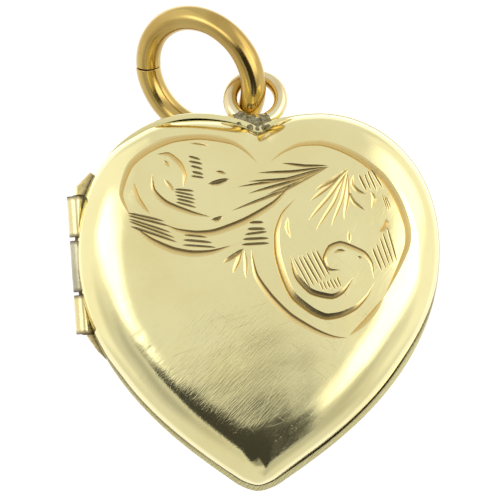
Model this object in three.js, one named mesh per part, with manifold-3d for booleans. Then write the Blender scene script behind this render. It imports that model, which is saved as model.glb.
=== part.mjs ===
// Heart locket, 20 mm wide, hinged on its left edge, with a bail loop and a jump ring.
// Millimetres. +Z up, the engraved front faces -Y, the hinge is on the -X side.
// The origin is the centre of the hole through the bail loop.
import * as THREE from 'three';
import { mergeVertices } from 'three/addons/utils/BufferGeometryUtils.js';
import Module from 'manifold-3d';

const wasm = await Module();
wasm.setup();

// ---- driving dimensions, mm -------------------------------------------------------------
const HEART_X = 0.15;            // the heart's axis sits a little to the right of the bail
const SEAM_Y = -1.0;             // plane where the two halves meet
const HALF_STEPS = 20;           // outline pieces from the cleft to the tip

const CLEFT_Z = -1.56;           // bottom of the cleft
const CLEFT_HANDLE = [0.69, -1.10];
const LOBE = { x: 3.40, z: -0.79, back: 1.30, fwd: 3.03 };
const SIDE = { x: 10.05, z: -8.41, up: 5.20, down: 7.10 };
const TIP_HANDLE = [3.69, -19.51];
const TIP_START = [1.25, -21.24];
const TIP_Z = -21.69;
const TIP_ROUND = [0.30, 0.40];

// how far the front half stands back from the back half: [fraction of the way from the
// cleft to the tip, mm]; the front is a worn, slightly skewed fit on the back
const SETBACK_RIGHT = [[0, 0.30], [0.07, 0.08], [0.5, 0.05], [0.68, 0.36], [0.9, 0.38], [1, 0.30]];
const SETBACK_LEFT = [[0, 0.30], [0.12, 0.40], [0.21, 0.22], [0.29, 0.04], [0.6, 0.04],
  [0.7, 0.20], [0.9, 0.25], [1, 0.30]];

const ROLL_WIDTH = 2.8;          // rolled edge of each shell
const ROLL_HEIGHT = 2.25;
const ROLL_POWER = 2.2;
const CROWN = 0.45;              // gentle doming of the face inside the roll
const CROWN_REACH = 7.4;
const SHELL = 0.32;              // metal thickness of a cover
const ROLL_STEPS = 5;

const BAND_FRONT_WALL = 0.92;    // insets from the outline to the walls inside each half
const LIP_OUTER = 0.97;
const WALL = 1.30;
const LEDGE = 1.80;
const LIP_HEIGHT = 0.48;
const BAND_GAP = 0.04;
const SOCKET_STEP = 0.55;
const LEDGE_TOP = 1.22;
const LEDGE_BOTTOM = 1.42;
const CARD_THICK = 0.16;
const WINDOW_THICK = 0.12;
const FRAME_THICK = 0.38;
const FRAME_INNER = 1.95;
const LOOSE = 0.02;

const HINGE_POINT = [-9.74, SEAM_Y, -8.08];
const HINGE_LEAN = Math.atan(0.07);      // the top of the hinge leans left
const KNUCKLE_R = 0.50;
const KNUCKLE_CLEAR = 0.06;
const PIN_R = 0.20;
const BORE_CLEAR = 0.02;
const TOP_KNUCKLE = [0.44, 2.70];        // start and end along the hinge from its point
const MIDDLE_KNUCKLE = [-2.60, 0.25];
const BOTTOM_KNUCKLE = [-4.93, -2.77];
const PIN_OVER = 0.06;
const BEARER_DEPTH = [0.06, 1.15];

const LOOP_R = 1.395;            // bail loop: ring radius and wire radius
const LOOP_WIRE = 0.40;
const LOOP_LEAN = THREE.MathUtils.degToRad(25);
const LOOP_JOINT = 0.05;         // butt joint in the loop's wire, low on the right
const LOOP_JOINT_AT = THREE.MathUtils.degToRad(-62);
const SOLDER_SIZE = [1.65, 0.70, 0.42];
const SOLDER_AT = [-0.05, -0.52, -1.40];

const RING_R = 3.40;             // jump ring: ring radius and wire radius
const RING_WIRE = 0.70;
const RING_CENTRE = [-3.054, 1.136, 1.428];
const RING_NORMAL = [-0.496, -0.763, -0.413];
const RING_SEAM = 0.05;          // the ring is bent shut, not soldered
const RING_SEAM_AT = THREE.MathUtils.degToRad(150);

// ---- solids -----------------------------------------------------------------------------
function toSolid(geometry) {
  let g = geometry.index ? geometry : geometry.clone();
  g.deleteAttribute('normal');
  g.deleteAttribute('uv');
  g = mergeVertices(g, 1e-4);
  const made = new wasm.Manifold(new wasm.Mesh({
    numProp: 3,
    vertProperties: new Float32Array(g.attributes.position.array),
    triVerts: new Uint32Array(g.index.array),
  }));
  return made;
}

function toGeometry(solid) {
  const mesh = solid.getMesh();
  const g = new THREE.BufferGeometry();
  g.setAttribute('position', new THREE.BufferAttribute(new Float32Array(mesh.vertProperties), 3));
  g.setIndex(new THREE.BufferAttribute(new Uint32Array(mesh.triVerts), 1));
  g.computeVertexNormals();
  return g;
}

function largest(solid) {
  const bits = solid.decompose();
  return bits.reduce((a, b) => (b.volume() > a.volume() ? b : a));
}

// ---- the heart outline ------------------------------------------------------------------
function bezier(a, b, c, d, n, into) {
  for (let i = 1; i <= n; i += 1) {
    const t = i / n;
    const s = 1 - t;
    const k = [s * s * s, 3 * s * s * t, 3 * s * t * t, t * t * t];
    into.push([
      k[0] * a[0] + k[1] * b[0] + k[2] * c[0] + k[3] * d[0],
      k[0] * a[1] + k[1] * b[1] + k[2] * c[1] + k[3] * d[1],
    ]);
  }
}

function baseHalf() {
  const cleft = [0, CLEFT_Z];
  const lobe = [LOBE.x, LOBE.z];
  const side = [SIDE.x, SIDE.z];
  const tip = [0, TIP_Z];
  const run = [TIP_START[0] - TIP_HANDLE[0], TIP_START[1] - TIP_HANDLE[1]];
  const len = Math.hypot(run[0], run[1]);
  const turn = [
    TIP_START[0] + (run[0] / len) * TIP_ROUND[0],
    TIP_START[1] + (run[1] / len) * TIP_ROUND[0],
  ];
  const pts = [cleft];
  bezier(cleft, CLEFT_HANDLE, [LOBE.x - LOBE.back, LOBE.z], lobe, 30, pts);
  bezier(lobe, [LOBE.x + LOBE.fwd, LOBE.z], [SIDE.x, SIDE.z + SIDE.up], side, 60, pts);
  bezier(side, [SIDE.x, SIDE.z - SIDE.down], TIP_HANDLE, TIP_START, 80, pts);
  bezier(TIP_START, turn, [TIP_ROUND[1], TIP_Z], tip, 12, pts);
  return pts;
}

function inwardNormals(pts) {
  return pts.map((p, i) => {
    const a = pts[Math.max(i - 1, 0)];
    const b = pts[Math.min(i + 1, pts.length - 1)];
    const len = Math.hypot(b[0] - a[0], b[1] - a[1]);
    return [(b[1] - a[1]) / len, -(b[0] - a[0]) / len];
  });
}

function lengths(pts) {
  const out = [0];
  for (let i = 1; i < pts.length; i += 1) {
    out.push(out[i - 1] + Math.hypot(pts[i][0] - pts[i - 1][0], pts[i][1] - pts[i - 1][1]));
  }
  return out;
}

function along(table, t) {
  let i = 1;
  while (i < table.length - 1 && t > table[i][0]) i += 1;
  const [t0, v0] = table[i - 1];
  const [t1, v1] = table[i];
  const u = THREE.MathUtils.smoothstep(t, t0, t1);
  return v0 + (v1 - v0) * u;
}

function setBack(pts, table) {
  const n = inwardNormals(pts);
  const s = lengths(pts);
  const total = s[s.length - 1];
  const last = pts.length - 1;
  return pts.map((p, i) => {
    const d = along(table, s[i] / total);
    if (i === 0) return [0, p[1] - d];
    if (i === last) return [0, p[1] + d];
    return [Math.max(p[0] + n[i][0] * d, 0), p[1] + n[i][1] * d];
  });
}

// a half outline moved inwards by d, rounded under the cleft and mitred at the tip
function insetHalf(pts, d) {
  if (d === 0) return pts;
  const n = inwardNormals(pts);
  const first = Math.atan2(n[0][0], -n[0][1]);
  const out = [];
  for (let i = 0; i < 8; i += 1) {
    const a = (first * i) / 8;
    out.push([Math.sin(a) * d, pts[0][1] - Math.cos(a) * d]);
  }
  for (let i = 0; i < pts.length; i += 1) {
    const q = [pts[i][0] + n[i][0] * d, pts[i][1] + n[i][1] * d];
    const p = out[out.length - 1];
    if (i > pts.length / 2 && q[0] <= 0) {
      const k = p[0] / (p[0] - q[0]);
      out.push([0, p[1] + (q[1] - p[1]) * k]);
      return out;
    }
    out.push(q);
  }
  return out;
}

function resample(pts, n) {
  const s = lengths(pts);
  const total = s[s.length - 1];
  const out = [];
  let j = 1;
  for (let i = 0; i <= n; i += 1) {
    const want = (total * i) / n;
    while (j < pts.length - 1 && s[j] < want) j += 1;
    const k = (want - s[j - 1]) / Math.max(s[j] - s[j - 1], 1e-9);
    out.push([
      pts[j - 1][0] + (pts[j][0] - pts[j - 1][0]) * k,
      pts[j - 1][1] + (pts[j][1] - pts[j - 1][1]) * k,
    ]);
  }
  return out;
}

const base = baseHalf();
const outlines = {
  back: { right: base, left: base },
  front: { right: setBack(base, SETBACK_RIGHT), left: setBack(base, SETBACK_LEFT) },
};

// closed outline inset by d: points [x, z] from the cleft down the right side and back up
function ring(half, d) {
  const right = resample(insetHalf(outlines[half].right, d), HALF_STEPS);
  const left = resample(insetHalf(outlines[half].left, d), HALF_STEPS);
  const out = [];
  for (let i = 0; i <= HALF_STEPS; i += 1) {
    const end = i === 0 || i === HALF_STEPS;
    const z = end ? (right[i][1] + left[i][1]) / 2 : right[i][1];
    out.push([HEART_X + (end ? 0 : right[i][0]), z]);
  }
  for (let i = HALF_STEPS - 1; i > 0; i -= 1) out.push([HEART_X - left[i][0], left[i][1]]);
  return out;
}

const outward = { front: -1, back: 1 };

// closed body through a list of {d, h} rings with a point at each end
function domed(half, rows, startH, endH) {
  const sign = outward[half];
  const loops = rows.map((r) => ring(half, r.d).map((p) => [p[0], SEAM_Y + sign * r.h, p[1]]));
  const n = loops[0].length;
  const pos = loops.flat(2);
  const mid = [HEART_X, (CLEFT_Z - CROWN_REACH)];
  const start = loops.length * n;
  pos.push(mid[0], SEAM_Y + sign * startH, mid[1]);
  pos.push(mid[0], SEAM_Y + sign * endH, mid[1]);
  const idx = [];
  const tri = (a, b, c) => (sign > 0 ? idx.push(a, b, c) : idx.push(a, c, b));
  for (let j = 0; j < n; j += 1) {
    const k = (j + 1) % n;
    tri(start, j, k);
    for (let i = 0; i < loops.length - 1; i += 1) {
      const a = i * n + j;
      const b = i * n + k;
      tri(a, a + n, b);
      tri(b, a + n, b + n);
    }
    tri(start + 1, (loops.length - 1) * n + k, (loops.length - 1) * n + j);
  }
  const g = new THREE.BufferGeometry();
  g.setAttribute('position', new THREE.BufferAttribute(new Float32Array(pos), 3));
  g.setIndex(idx);
  return toSolid(g);
}

const crown = (d) => CROWN * (1 - (1 - Math.min(d, CROWN_REACH) / CROWN_REACH) ** 2);

// rows of the shell profile, from the face down to the seam; t is 0 outside, SHELL inside
function profile(t) {
  const width = ROLL_WIDTH - t * 0.6;
  const rows = [4.9, 3.9].map((d) => ({ d, h: ROLL_HEIGHT - t + crown(d) }));
  for (let i = ROLL_STEPS; i >= 0; i -= 1) {
    const a = (i / ROLL_STEPS) * (Math.PI / 2);
    const d = t + width * (1 - Math.cos(a) ** (2 / ROLL_POWER));
    const h = (ROLL_HEIGHT - t) * Math.sin(a) ** (2 / ROLL_POWER);
    rows.push({ d, h: h + (i === 0 ? 0 : crown(d)) });
  }
  return rows;
}

const peak = ROLL_HEIGHT + crown(CROWN_REACH);

// the whole space inside a shell's outer surface (t = 0) or its inner one (t = SHELL)
function filled(half, t) {
  return domed(half, profile(t), peak - t, 0);
}

function shell(half) {
  return filled(half, 0).subtract(filled(half, SHELL));
}

// flat heart plate between two depths, with an optional opening; everything inside the
// locket is sized from the front outline, so that the two halves close on each other
function plate(half, outer, inner, from, to) {
  const heart = (d) => new THREE.Shape(ring('front', d).map((p) => new THREE.Vector2(p[0], p[1])));
  const body = slab(heart(outer), from, to, outward[half]);
  if (inner === null) return body;
  return body.subtract(slab(heart(inner), from - 1, to + 1, outward[half]));
}

// extrude a shape drawn in x, z between two depths from the seam
function slab(shape, from, to, sign) {
  const g = new THREE.ExtrudeGeometry(shape, { depth: to - from, bevelEnabled: false });
  g.rotateX(Math.PI / 2);
  const y = sign > 0 ? SEAM_Y + to : SEAM_Y - from;
  g.translate(0, y, 0);
  return toSolid(g);
}

// ---- hinge ------------------------------------------------------------------------------
const hingeAxis = new THREE.Vector3(-Math.sin(HINGE_LEAN), 0, Math.cos(HINGE_LEAN));
const hingeTurn = new THREE.Quaternion().setFromUnitVectors(new THREE.Vector3(0, 1, 0), hingeAxis);

function rod(radius, from, to) {
  const g = new THREE.CylinderGeometry(radius, radius, to - from, 20);
  g.translate(0, (from + to) / 2, 0);
  g.applyQuaternion(hingeTurn);
  g.translate(...HINGE_POINT);
  return toSolid(g);
}

function knuckle(span, bore) {
  return rod(KNUCKLE_R, span[0], span[1]).subtract(rod(bore, span[0] - 1, span[1] + 1));
}

function roomFor(span) {
  return rod(KNUCKLE_R + KNUCKLE_CLEAR, span[0] - KNUCKLE_CLEAR * 2, span[1] + KNUCKLE_CLEAR * 2);
}

const fitted = (span) => rod(KNUCKLE_R, span[0], span[1]);

// ---- the two shells ---------------------------------------------------------------------
function thumbNotch() {
  const g = new THREE.SphereGeometry(0.42, 16, 10);
  g.scale(1, 0.6, 1);
  g.translate(HEART_X - 1.25, SEAM_Y, -21.15);
  return toSolid(g);
}

const frontCover = shell('front')
  .subtract(roomFor(TOP_KNUCKLE))
  .subtract(roomFor(BOTTOM_KNUCKLE))
  .subtract(fitted([MIDDLE_KNUCKLE[0] - 0.2, MIDDLE_KNUCKLE[1] + 0.2]))
  .subtract(thumbNotch());

const backCover = shell('back')
  .subtract(roomFor(MIDDLE_KNUCKLE))
  .subtract(fitted([TOP_KNUCKLE[0], TOP_KNUCKLE[1] + 0.1]))
  .subtract(fitted([BOTTOM_KNUCKLE[0] - 0.1, BOTTOM_KNUCKLE[1]]));

const roomAll = rod(KNUCKLE_R + KNUCKLE_CLEAR, BOTTOM_KNUCKLE[0] - 0.3, TOP_KNUCKLE[1] + 0.3);

const frontBand = plate('front', 0.1, BAND_FRONT_WALL, BAND_GAP, SOCKET_STEP)
  .add(plate('front', 0.1, WALL, SOCKET_STEP, LEDGE_TOP))
  .add(plate('front', 0.1, LEDGE, LEDGE_TOP, LEDGE_BOTTOM))
  .intersect(filled('front', SHELL))
  .subtract(roomAll);

// the back band stands proud of the seam as a lip that snaps inside the front band
const backBand = plate('back', -0.1, WALL, BAND_GAP, LEDGE_TOP)
  .add(plate('back', -0.1, LEDGE, LEDGE_TOP, LEDGE_BOTTOM))
  .intersect(filled('back', SHELL))
  .add(plate('back', LIP_OUTER, WALL, -LIP_HEIGHT, BAND_GAP + 0.3))
  .subtract(roomAll);

function inside(half) {
  const windowTop = LEDGE_TOP - CARD_THICK - WINDOW_THICK;
  return {
    card: plate(half, WALL + LOOSE, null, LEDGE_TOP - CARD_THICK, LEDGE_TOP),
    window: plate(half, WALL + LOOSE, null, windowTop, windowTop + WINDOW_THICK),
    frame: plate(half, WALL + LOOSE, FRAME_INNER, windowTop - FRAME_THICK, windowTop),
  };
}

const frontInside = inside('front');
const backInside = inside('back');

// ---- hinge bearer and solder ------------------------------------------------------------
const hingeX = (z) => HINGE_POINT[0] - Math.tan(HINGE_LEAN) * (z - HINGE_POINT[2]);

function bearer() {
  const shape = new THREE.Shape();
  shape.moveTo(-9.13, -4.05);
  shape.lineTo(-9.91, -4.88);
  shape.lineTo(hingeX(-5.4), -5.4);
  shape.lineTo(hingeX(-13.0), -13.0);
  shape.lineTo(-8.69, -13.99);
  shape.lineTo(-7.70, -14.93);
  shape.lineTo(-7.2, -14.3);
  shape.lineTo(-8.6, -8.5);
  shape.lineTo(-8.5, -4.6);
  shape.closePath();
  const body = slab(shape, BEARER_DEPTH[0], BEARER_DEPTH[1], 1)
    .subtract(filled('back', 0))
    .subtract(fitted([TOP_KNUCKLE[0], TOP_KNUCKLE[1]]))
    .subtract(fitted([BOTTOM_KNUCKLE[0], BOTTOM_KNUCKLE[1]]))
    .subtract(roomFor(MIDDLE_KNUCKLE));
  return largest(body);
}

function hingeSolder() {
  const g = new THREE.CylinderGeometry(0.22, 0.22, MIDDLE_KNUCKLE[1] - MIDDLE_KNUCKLE[0] - 0.5, 12);
  g.translate(0, (MIDDLE_KNUCKLE[0] + MIDDLE_KNUCKLE[1]) / 2, 0);
  g.applyQuaternion(hingeTurn);
  g.translate(HINGE_POINT[0] - 0.02, SEAM_Y - 0.56, HINGE_POINT[2]);
  const body = toSolid(g).subtract(filled('front', 0)).subtract(fitted(MIDDLE_KNUCKLE));
  return largest(body);
}

// ---- bail and jump ring -----------------------------------------------------------------
const loopAxis = new THREE.Vector3(0, Math.cos(LOOP_LEAN), -Math.sin(LOOP_LEAN));

function hoop(radius, wire, axis, centre, wireSteps, steps, gapAngle, gap) {
  let body = toSolid(new THREE.TorusGeometry(radius, wire, wireSteps, steps));
  if (gap > 0) {
    const cut = new THREE.BoxGeometry(wire * 3, gap, wire * 3);
    cut.translate(radius, 0, 0);
    cut.rotateZ(gapAngle);
    body = body.subtract(toSolid(cut));
  }
  const turn = new THREE.Quaternion().setFromUnitVectors(new THREE.Vector3(0, 0, 1), axis);
  const m = new THREE.Matrix4().makeRotationFromQuaternion(turn);
  m.setPosition(...centre);
  return body.transform(m.elements);
}

const wholeLoop = hoop(LOOP_R, LOOP_WIRE, loopAxis, [0, 0, 0], 10, 28, 0, 0);
const bailLoop = hoop(LOOP_R, LOOP_WIRE, loopAxis, [0, 0, 0], 10, 28, LOOP_JOINT_AT, LOOP_JOINT)
  .subtract(filled('back', 0));
const ringAxis = new THREE.Vector3(...RING_NORMAL).normalize();
const jumpRing = hoop(RING_R, RING_WIRE, ringAxis, RING_CENTRE, 12, 40, RING_SEAM_AT, RING_SEAM);

function bailSolder() {
  const blob = new THREE.SphereGeometry(1, 14, 8);
  blob.scale(...SOLDER_SIZE);
  blob.translate(...SOLDER_AT);
  const inner = LOOP_R - LOOP_WIRE * 0.7;
  const hole = new THREE.CylinderGeometry(inner, inner, 8, 28);
  const turn = new THREE.Quaternion().setFromUnitVectors(new THREE.Vector3(0, 1, 0), loopAxis);
  hole.applyQuaternion(turn);
  const body = toSolid(blob)
    .subtract(plate('front', -0.06, null, -0.04, 2))
    .subtract(toSolid(hole))
    .subtract(filled('back', 0))
    .subtract(wholeLoop);
  return largest(body);
}

// ---- assembly ---------------------------------------------------------------------------
const gold = { color: 0xe4dca8, metalness: 1, roughness: 0.25 };
const deepGold = { color: 0xd9b55e, metalness: 1, roughness: 0.22 };
const paleGold = { color: 0xeadfb4, metalness: 1, roughness: 0.25 };
const solder = { color: 0x8a8458, metalness: 1, roughness: 0.6 };
const glass = { color: 0xf4f8f6, metalness: 0, roughness: 0.08, transparent: true, opacity: 0.3 };
const paper = { color: 0xefe8d8, metalness: 0, roughness: 0.9 };

const pieces = [
  ['front_cover', frontCover, gold],
  ['front_rim_band', frontBand, gold],
  ['front_photo_frame', frontInside.frame, gold],
  ['front_photo_window', frontInside.window, glass],
  ['front_photo_card', frontInside.card, paper],
  ['back_cover', backCover, gold],
  ['back_rim_band', backBand, gold],
  ['back_photo_frame', backInside.frame, gold],
  ['back_photo_window', backInside.window, glass],
  ['back_photo_card', backInside.card, paper],
  ['hinge_bearer', bearer(), gold],
  ['hinge_knuckle_top', knuckle(TOP_KNUCKLE, PIN_R), gold],
  ['hinge_knuckle_middle', knuckle(MIDDLE_KNUCKLE, PIN_R + BORE_CLEAR), gold],
  ['hinge_knuckle_bottom', knuckle(BOTTOM_KNUCKLE, PIN_R), gold],
  ['hinge_pin', rod(PIN_R, BOTTOM_KNUCKLE[0] - PIN_OVER, TOP_KNUCKLE[1] + PIN_OVER), gold],
  ['hinge_solder', hingeSolder(), solder],
  ['bail_loop', bailLoop, paleGold],
  ['bail_solder', bailSolder(), solder],
  ['jump_ring', jumpRing, deepGold],
];

const locket = new THREE.Group();
locket.name = 'locket';
for (const [name, solid, look] of pieces) {
  const mesh = new THREE.Mesh(toGeometry(solid), new THREE.MeshStandardMaterial(look));
  mesh.name = name;
  locket.add(mesh);
}

export default locket;
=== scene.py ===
import math

import bmesh
import bpy
import numpy as np
from mathutils import Matrix, Vector
from mathutils.geometry import delaunay_2d_cdt


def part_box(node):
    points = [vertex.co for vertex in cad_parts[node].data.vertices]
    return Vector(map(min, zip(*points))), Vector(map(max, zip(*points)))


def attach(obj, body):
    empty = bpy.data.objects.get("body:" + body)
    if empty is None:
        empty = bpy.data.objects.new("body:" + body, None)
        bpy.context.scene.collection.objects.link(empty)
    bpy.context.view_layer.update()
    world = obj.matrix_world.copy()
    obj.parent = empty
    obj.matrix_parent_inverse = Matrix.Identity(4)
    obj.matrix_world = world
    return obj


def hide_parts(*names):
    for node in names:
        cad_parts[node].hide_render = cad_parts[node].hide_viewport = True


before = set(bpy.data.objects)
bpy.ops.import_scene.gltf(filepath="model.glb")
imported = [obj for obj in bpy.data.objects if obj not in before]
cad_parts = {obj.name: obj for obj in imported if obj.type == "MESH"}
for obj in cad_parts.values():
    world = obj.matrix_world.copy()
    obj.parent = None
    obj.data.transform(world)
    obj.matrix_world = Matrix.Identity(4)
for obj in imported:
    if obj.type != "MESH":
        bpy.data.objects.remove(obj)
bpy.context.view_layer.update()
MM = 0.001

# ---- sizes in mm, the same as the CAD part
HEART_X = 0.15  # the heart's centre line, right of the bail loop
SEAM_Y = -1.0  # plane where the two halves meet
CLEFT_Z = -1.56
LOBE = (3.40, -0.79, 1.30, 3.03)  # top of a lobe: x, z, handle inward, handle outward
SIDE = (10.05, -8.41, 5.20, 7.10)  # widest point: x, z, handle up, handle down
TIP_HANDLE = (3.69, -19.51)
TIP_START = (1.25, -21.24)
TIP_Z = -21.69
# how far the front's edge lies inside the back's: (share of the way from cleft to tip, mm)
SETBACK_RIGHT = [(0, 0.30), (0.07, 0.08), (0.5, 0.05), (0.68, 0.36), (0.9, 0.38), (1, 0.30)]
SETBACK_LEFT = [(0, 0.30), (0.12, 0.40), (0.21, 0.22), (0.29, 0.04), (0.6, 0.04),
                (0.7, 0.20), (0.9, 0.25), (1, 0.30)]
ROLL_WIDTH, ROLL_HEIGHT, ROLL_POWER = 2.8, 2.25, 2.2  # rolled edge of a cover
CROWN, CROWN_POWER = 0.45, 1.2  # rise of the face's middle over the roll
CROWN_Z, CROWN_WIDE, CROWN_UP, CROWN_DOWN = -12.0, 10.4, 12.5, 17.0
SHELL = 0.32  # metal thickness
LIP = 0.02  # chamfer of a cover's edge
FACE_START = 0.90  # inset where the meshed face takes over from the roll
HINGE_POINT = np.array([-9.74, SEAM_Y, -8.08])
HINGE_LEAN = math.atan(0.07)
HINGE_AXIS = np.array([-math.sin(HINGE_LEAN), 0.0, math.cos(HINGE_LEAN)])
HINGE_ACROSS = np.array([math.cos(HINGE_LEAN), 0.0, math.sin(HINGE_LEAN)])
KNUCKLE_R, PIN_R = 0.50, 0.20
ROOM = 0.59  # radius kept free where a knuckle turns past a cover
TOP, MID, BOT = (0.44, 2.70), (-2.60, 0.25), (-4.93, -2.77)  # knuckles along the hinge
LOOP_R, LOOP_WIRE, LOOP_LEAN = 1.395, 0.40, math.radians(25)
LOOP_JOINT = math.radians(62)
RING_R, RING_WIRE = 3.40, 0.70
RING_CENTRE = np.array([-3.054, 1.136, 1.428])
RING_NORMAL = np.array([-0.496, -0.763, -0.413])
RING_SEAM_DIR = np.array([-2.87, 1.568, 0.55])
# the parts inside: insets from the front's outline, then depths from the seam
BAND_FRONT_WALL, LIP_OUTER, WALL, LEDGE, FRAME_INNER = 0.92, 0.97, 1.30, 1.80, 1.95
LIP_HEIGHT, BAND_GAP, SOCKET_STEP, LEDGE_TOP, LEDGE_BOTTOM = 0.48, 0.04, 0.55, 1.22, 1.42
CARD_THICK, WINDOW_THICK, FRAME_THICK = 0.16, 0.12, 0.38
WINDOW_TOP = LEDGE_TOP - CARD_THICK - WINDOW_THICK
SIGN = {"front": -1, "back": 1}  # which way a half rises from the seam

rng = np.random.default_rng(7)


# ---- the heart outline
def bezier(a, b, c, d, n):
    """n points along a cubic curve, without its first."""
    t = np.arange(1, n + 1)[:, None] / n
    a, b, c, d = (np.array(p, float) for p in (a, b, c, d))
    return (1 - t) ** 3 * a + 3 * (1 - t) ** 2 * t * b + 3 * (1 - t) * t * t * c + t**3 * d


def base_half():
    """Right half of the outline from the cleft to the tip, measured from the centre line."""
    start, turn = np.array(TIP_START), np.array(TIP_START) - np.array(TIP_HANDLE)
    turn = start + turn / np.linalg.norm(turn) * 0.30
    return np.vstack([
        [(0, CLEFT_Z)],
        bezier((0, CLEFT_Z), (0.69, -1.10), (LOBE[0] - LOBE[2], LOBE[1]), LOBE[:2], 60),
        bezier(LOBE[:2], (LOBE[0] + LOBE[3], LOBE[1]), (SIDE[0], SIDE[1] + SIDE[2]), SIDE[:2], 160),
        bezier(SIDE[:2], (SIDE[0], SIDE[1] - SIDE[3]), TIP_HANDLE, TIP_START, 220),
        bezier(TIP_START, turn, (0.40, TIP_Z), (0, TIP_Z), 30),
    ])


def inward(pts):
    """Unit normals of the half outline that point into the heart."""
    d = np.gradient(pts, axis=0)
    d[0], d[-1] = pts[1] - pts[0], pts[-1] - pts[-2]
    d /= np.linalg.norm(d, axis=1)[:, None]
    return np.column_stack([d[:, 1], -d[:, 0]])


def lengths(pts):
    """Way along the points, from the first."""
    return np.concatenate([[0], np.cumsum(np.linalg.norm(np.diff(pts, axis=0), axis=1))])


def smooth_table(t, table):
    """Value at t in a table of (place, value), eased between the rows."""
    xs, ys = np.array(table, float).T
    i = np.clip(np.searchsorted(xs, t, side="right") - 1, 0, len(xs) - 2)
    u = np.clip((t - xs[i]) / (xs[i + 1] - xs[i]), 0, 1)
    u = u * u * (3 - 2 * u)
    return ys[i] + (ys[i + 1] - ys[i]) * u


def set_back(pts, table):
    """The half outline moved inward by an amount that varies along it."""
    s = lengths(pts)
    d = smooth_table(s / s[-1], table)
    out = pts + inward(pts) * d[:, None]
    out[0] = (0, pts[0, 1] - d[0])
    out[-1] = (0, pts[-1, 1] + d[-1])
    out[:, 0] = np.maximum(out[:, 0], 0)
    return out


def inset_half(pts, d):
    """The half outline inset by d, round at the cleft and mitred at the tip."""
    if d == 0:
        return pts
    n = inward(pts)
    first = math.atan2(n[0, 0], -n[0, 1])
    a = first * np.arange(24) / 24
    arc = np.column_stack([np.sin(a) * d, pts[0, 1] - np.cos(a) * d])
    moved = pts + n * d
    half = len(pts) // 2
    over = np.nonzero(moved[half:, 0] <= 0)[0]
    stop = half + (over[0] if len(over) else len(moved) - half - 1)
    p, q = moved[stop - 1], moved[stop]
    k = p[0] / max(p[0] - q[0], 1e-9)
    return np.vstack([arc, moved[:stop], [(0, p[1] + (q[1] - p[1]) * k)]])


def resample(pts, n):
    """n even steps along the points."""
    s = lengths(pts)
    want = np.linspace(0, s[-1], n + 1)
    return np.column_stack([np.interp(want, s, pts[:, 0]), np.interp(want, s, pts[:, 1])])


BASE = base_half()
OUTLINES = {
    "back": (BASE, BASE),
    "front": (set_back(BASE, SETBACK_RIGHT), set_back(BASE, SETBACK_LEFT)),
}


def ring(half, d, n):
    """Closed outline inset by d: (x, z) from the cleft down the right side and back up."""
    right, left = (resample(inset_half(h, d), n) for h in OUTLINES[half])
    right[[0, -1]] = left[[0, -1]] = (right[[0, -1]] + left[[0, -1]]) / 2
    left = left[1:-1][::-1] * (-1, 1)
    return np.vstack([right, left]) + (HEART_X, 0)


def to_segments(p, a, ab):
    """For each point and segment: offset from its start, way along it, and distance."""
    q = p[:, None, :] - a[None]
    t = np.clip((q * ab[None]).sum(2) / np.maximum((ab * ab).sum(1), 1e-12), 0, 1)
    return q, t, np.linalg.norm(q - t[..., None] * ab[None], axis=2)


def seg_distance(p, a, b):
    """Distance from points p to the polyline a-b, in chunks."""
    out = np.empty(len(p))
    for i in range(0, len(p), 2000):
        out[i:i + 2000] = to_segments(p[i:i + 2000], a, b - a)[2].min(1)
    return out


def depth_in(half, p):
    """Distance in from the outline, with the mitre at the tip softened."""
    right, left = (h[::2] if len(h) % 2 else h for h in OUTLINES[half])
    right = right + (HEART_X, 0)
    left = left * (-1, 1) + (HEART_X, 0)
    dr = seg_distance(p, right[:-1], right[1:])
    dl = seg_distance(p, left[:-1], left[1:])
    low = np.minimum(dr, dl)
    blend = np.maximum(low * 0.5, 1e-6) * np.clip((-12 - p[:, 1]) / 4, 0, 1)
    blend = np.maximum(blend, 1e-9)
    h = np.maximum(blend - np.abs(dr - dl), 0) / blend
    return low - h * h * blend / 4


def inside(p, poly):
    """Which points lie in a closed outline."""
    x, y = p[:, 0][:, None], p[:, 1][:, None]
    a, b = poly, np.roll(poly, -1, 0)
    up = (a[:, 1] > y) != (b[:, 1] > y)
    t = (y - a[:, 1]) / np.where(b[:, 1] == a[:, 1], 1e-9, b[:, 1] - a[:, 1])
    return (up & (x < a[:, 0] + t * (b[:, 0] - a[:, 0]))).sum(1) % 2 == 1


def roll(d):
    """Height of the rolled edge at inset d."""
    u = np.clip(1 - d / ROLL_WIDTH, 0, 1)
    return ROLL_HEIGHT * (1 - u**ROLL_POWER) ** (1 / ROLL_POWER)


def crown_at(x, z):
    """Rise of the face over the roll."""
    up = np.maximum(z - CROWN_Z, 0) / CROWN_UP
    down = np.maximum(CROWN_Z - z, 0) / CROWN_DOWN
    c = 1 - ((x - HEART_X) / CROWN_WIDE) ** 2 - up**2 - down**2
    return CROWN * np.clip(c, 0, 1) ** CROWN_POWER


def height(half, p):
    """Height of a cover over the seam plane at points (x, z)."""
    edge = roll(depth_in(half, p))
    return edge + crown_at(p[:, 0], p[:, 1]) * edge / ROLL_HEIGHT


def distance_outside(p, poly):
    """Distance from a closed outline, 0 for points in it."""
    off = seg_distance(p, poly, np.roll(poly, -1, 0))
    off[inside(p, poly)] = 0
    return off


# ---- meshes
def linked(name, data):
    """A new object in the scene."""
    o = bpy.data.objects.new(name, data)
    bpy.context.scene.collection.objects.link(o)
    return o


def per_vertex(me, what):
    """Three numbers of each vertex, its place or its normal."""
    values = np.empty(len(me.vertices) * 3)
    me.vertices.foreach_get(what, values)
    return values.reshape(-1, 3)


def add_mask(me, name, values):
    layer = me.attributes.new(name, "FLOAT", "POINT")
    layer.data.foreach_set("value", np.asarray(values, np.float32))


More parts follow.
